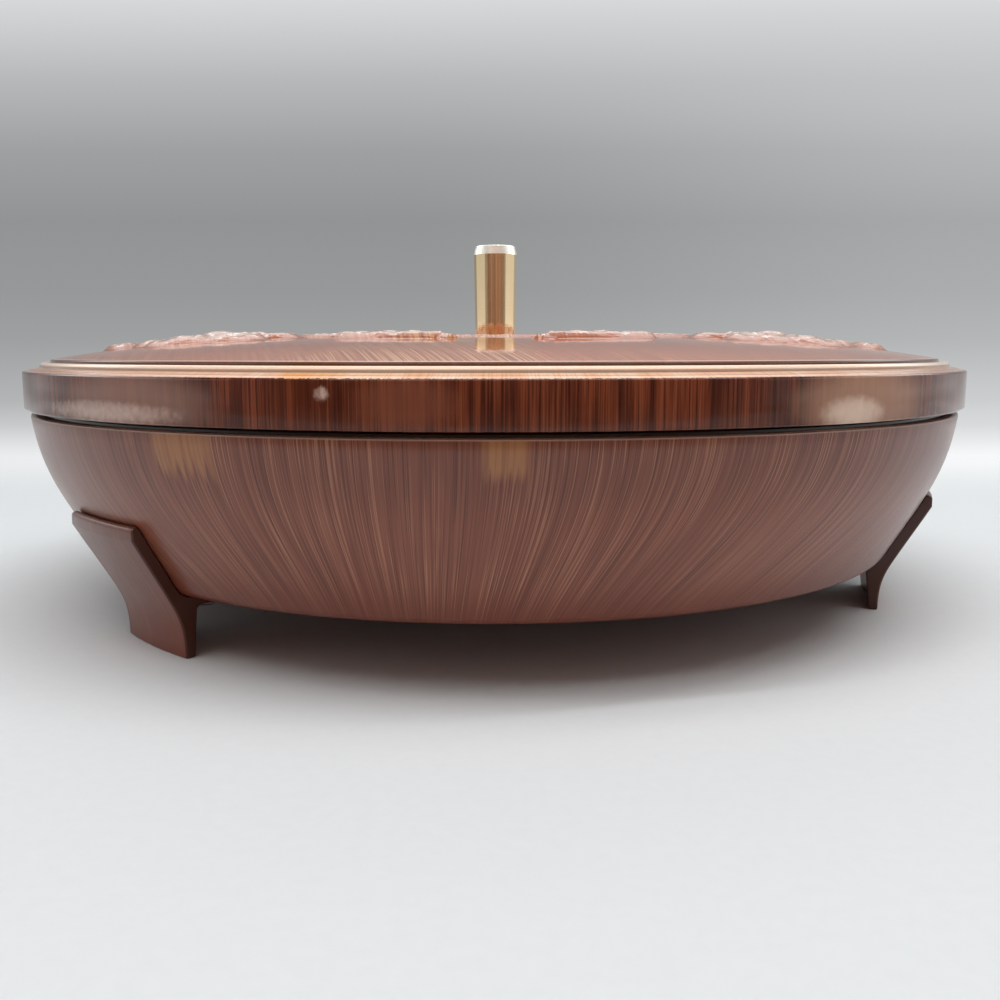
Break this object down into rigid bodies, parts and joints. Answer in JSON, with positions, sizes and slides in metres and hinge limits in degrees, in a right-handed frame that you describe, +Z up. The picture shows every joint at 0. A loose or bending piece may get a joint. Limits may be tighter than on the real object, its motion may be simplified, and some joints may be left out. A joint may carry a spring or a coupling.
{
  "type": "divided lidded dish",
  "caption": "Round serving dish on low feet, with a lift-out divided insert under a domed lid with a slim upright knob.",
  "frame": {"origin": "on the table, under the middle of the dish", "axes": "+Z up, -Y towards the front from which the picture was taken, +X to its right"},
  "size_m": [0.3, 0.3, 0.1152],
  "materials": {
    "bowl_wood": "painted to look like polished brown wood, glossy",
    "foot_wood": "painted to look like polished dark red-brown wood, glossy",
    "lid_wood": "painted to look like polished red-brown wood, glossy",
    "insert_plastic": "dark brown moulded plastic, semi-gloss",
    "knob_gold": "gold coloured plating, polished",
    "screw_steel": "zinc plated"
  },
  "bodies": {
    "base": {"bowl": "bowl_wood", "foot_front_left": "foot_wood", "foot_front_left_screw_1": "screw_steel", "foot_front_left_screw_2": "screw_steel", "foot_right": "foot_wood", "foot_right_screw_1": "screw_steel", "foot_right_screw_2": "screw_steel", "foot_back": "foot_wood", "foot_back_screw_1": "screw_steel", "foot_back_screw_2": "screw_steel"},
    "insert": {"insert_tray": "insert_plastic", "insert_middle_ring": "insert_plastic", "insert_divider_1": "insert_plastic", "insert_divider_2": "insert_plastic", "insert_divider_3": "insert_plastic", "insert_divider_4": "insert_plastic", "insert_divider_5": "insert_plastic"},
    "lid": {"lid": "lid_wood", "knob": "knob_gold", "knob_washer": "screw_steel", "knob_screw": "screw_steel"}
  },
  "joints": [
    {"name": "insert_lift", "type": "slide", "parent": "base", "child": "insert", "axis": [0, 0, 1], "range_m": [0, 0.08]},
    {"name": "lid_lift", "type": "slide", "parent": "insert", "child": "lid", "axis": [0, 0, 1], "range_m": [0, 0.12]}
  ]
}
